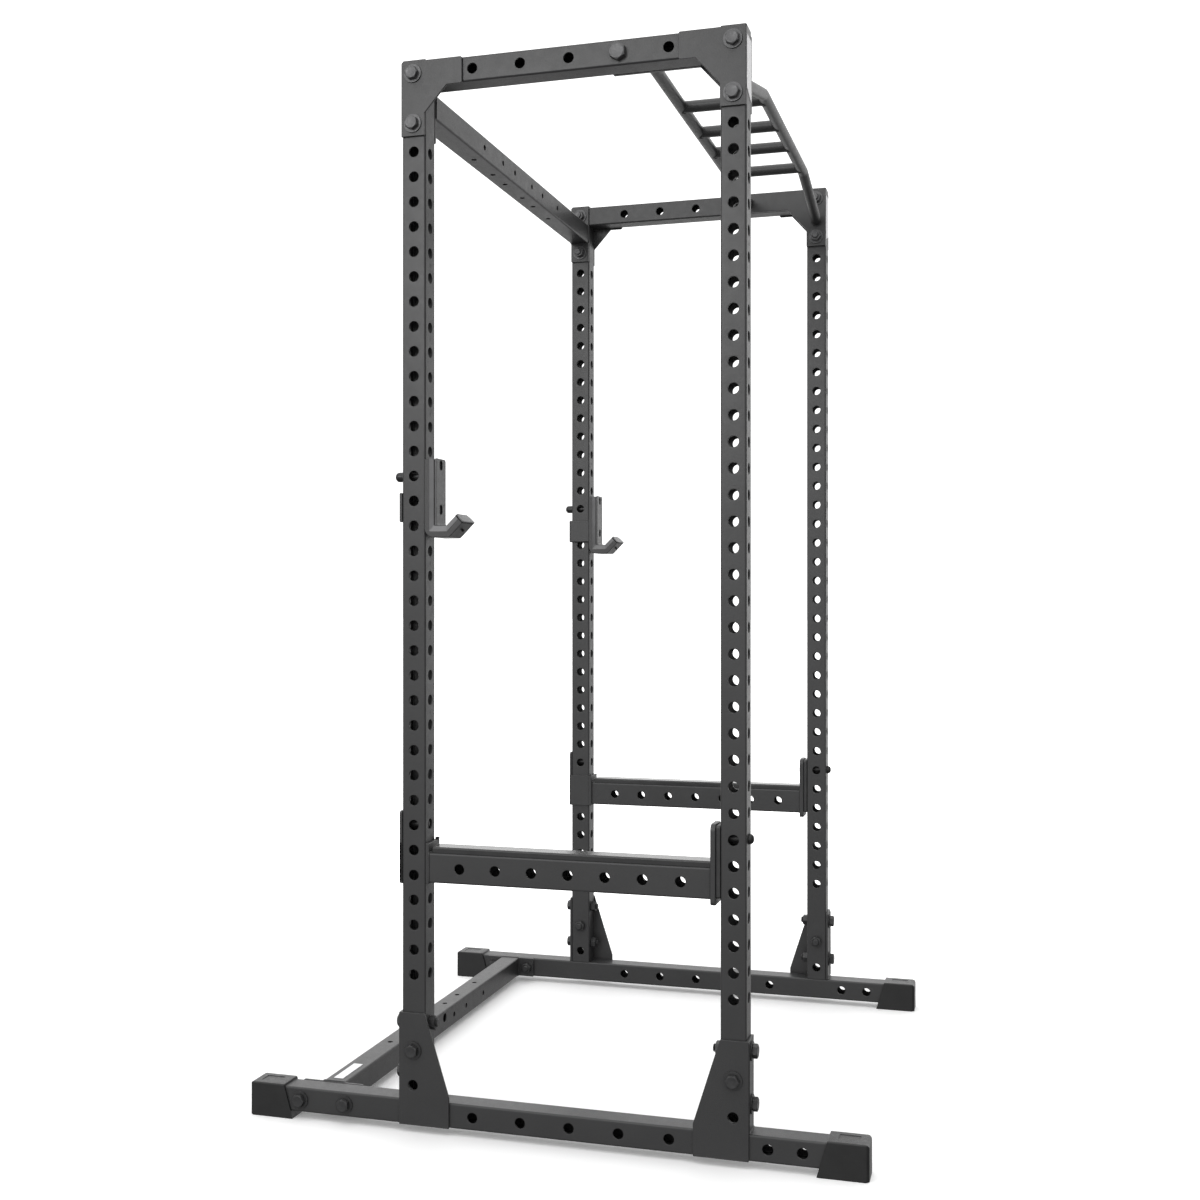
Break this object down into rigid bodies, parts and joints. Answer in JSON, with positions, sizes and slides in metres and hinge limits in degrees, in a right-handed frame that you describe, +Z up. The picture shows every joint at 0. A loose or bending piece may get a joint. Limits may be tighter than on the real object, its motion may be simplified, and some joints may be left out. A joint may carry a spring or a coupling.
{
  "type": "power cage",
  "caption": "Free-standing power cage with perforated square uprights, long base beams, a multi-grip pull-up bar, pinned J-hooks and safety bars.",
  "frame": {"origin": "on the floor, midway between the two base beams and between their ends", "axes": "+Z up; -Y is the front, the pull-up bar's side; +X is the right-hand side frame"},
  "size_m": [1.226, 1.268, 2.149],
  "materials": {
    "frame_paint": "matt textured powder coat",
    "cap_plastic": "fine moulded texture",
    "hook_plastic": "satin grey wear plastic",
    "liner_plastic": "satin wear plastic",
    "pad_plastic": "matt",
    "bolt_steel": "dark zinc",
    "pin_steel": "black oxide",
    "screw_steel": "black oxide",
    "label_white": "smooth film"
  },
  "bodies": {
    "frame": {"upright_rear_left": "frame_paint", "upright_rear_right": "frame_paint", "upright_front_left": "frame_paint", "upright_front_right": "frame_paint", "top_end_caps": "frame_paint", "top_beam_left": "frame_paint", "top_beam_right": "frame_paint", "corner_plate_rear_left": "frame_paint", "corner_plate_rear_right": "frame_paint", "corner_plate_front_left": "frame_paint", "corner_plate_front_right": "frame_paint", "multigrip_plate_left": "frame_paint", "multigrip_plate_right": "frame_paint", "multigrip_inner_rail": "frame_paint", "multigrip_outer_rail": "frame_paint", "multigrip_rungs": "frame_paint", "top_crossmember": "frame_paint", "top_crossmember_flanges": "frame_paint", "base_beam_left": "frame_paint", "base_beam_right": "frame_paint", "foot_bracket_rear_left": "frame_paint", "foot_bracket_rear_right": "frame_paint", "foot_bracket_front_left": "frame_paint", "foot_bracket_front_right": "frame_paint", "base_crossmember": "frame_paint", "base_crossmember_flanges": "frame_paint", "foot_cap_rear_left": "cap_plastic", "foot_cap_rear_right": "cap_plastic", "foot_cap_front_left": "cap_plastic", "foot_cap_front_right": "cap_plastic", "top_bolts": "bolt_steel", "multigrip_bolts": "bolt_steel", "base_bolts": "bolt_steel", "washers": "bolt_steel", "nuts": "bolt_steel", "label_plates": "label_white"},
    "jhook_left": {"jhook_body_left": "frame_paint", "jhook_liner_left": "hook_plastic", "jhook_saddle_left": "frame_paint", "jhook_pin_left": "pin_steel", "jhook_tip_cap_left": "hook_plastic", "jhook_screws_left": "screw_steel"},
    "jhook_right": {"jhook_body_right": "frame_paint", "jhook_liner_right": "hook_plastic", "jhook_saddle_right": "frame_paint", "jhook_pin_right": "pin_steel", "jhook_tip_cap_right": "hook_plastic", "jhook_screws_right": "screw_steel"},
    "safety_left": {"safety_beam_left": "frame_paint", "safety_strip_left": "liner_plastic", "safety_front_plate_left": "frame_paint", "safety_pad_left": "pad_plastic", "safety_saddle_left": "frame_paint", "safety_pins_left": "pin_steel"},
    "safety_right": {"safety_beam_right": "frame_paint", "safety_strip_right": "liner_plastic", "safety_front_plate_right": "frame_paint", "safety_pad_right": "pad_plastic", "safety_saddle_right": "frame_paint", "safety_pins_right": "pin_steel"}
  },
  "joints": [
    {"name": "jhook_left_swing", "type": "hinge", "parent": "frame", "child": "jhook_left", "pos_m": [-0.57, 0.269, 1.315], "axis": [0, -1, 0], "range_deg": [0, 90]},
    {"name": "safety_left_swing", "type": "hinge", "parent": "frame", "child": "safety_left", "pos_m": [-0.57, -0.056, 0.615], "axis": [0, -1, 0], "range_deg": [0, 90]},
    {"name": "jhook_right_swing", "type": "hinge", "parent": "frame", "child": "jhook_right", "pos_m": [0.57, 0.269, 1.315], "axis": [0, 1, 0], "range_deg": [0, 90]},
    {"name": "safety_right_swing", "type": "hinge", "parent": "frame", "child": "safety_right", "pos_m": [0.57, -0.056, 0.615], "axis": [0, 1, 0], "range_deg": [0, 90]}
  ]
}
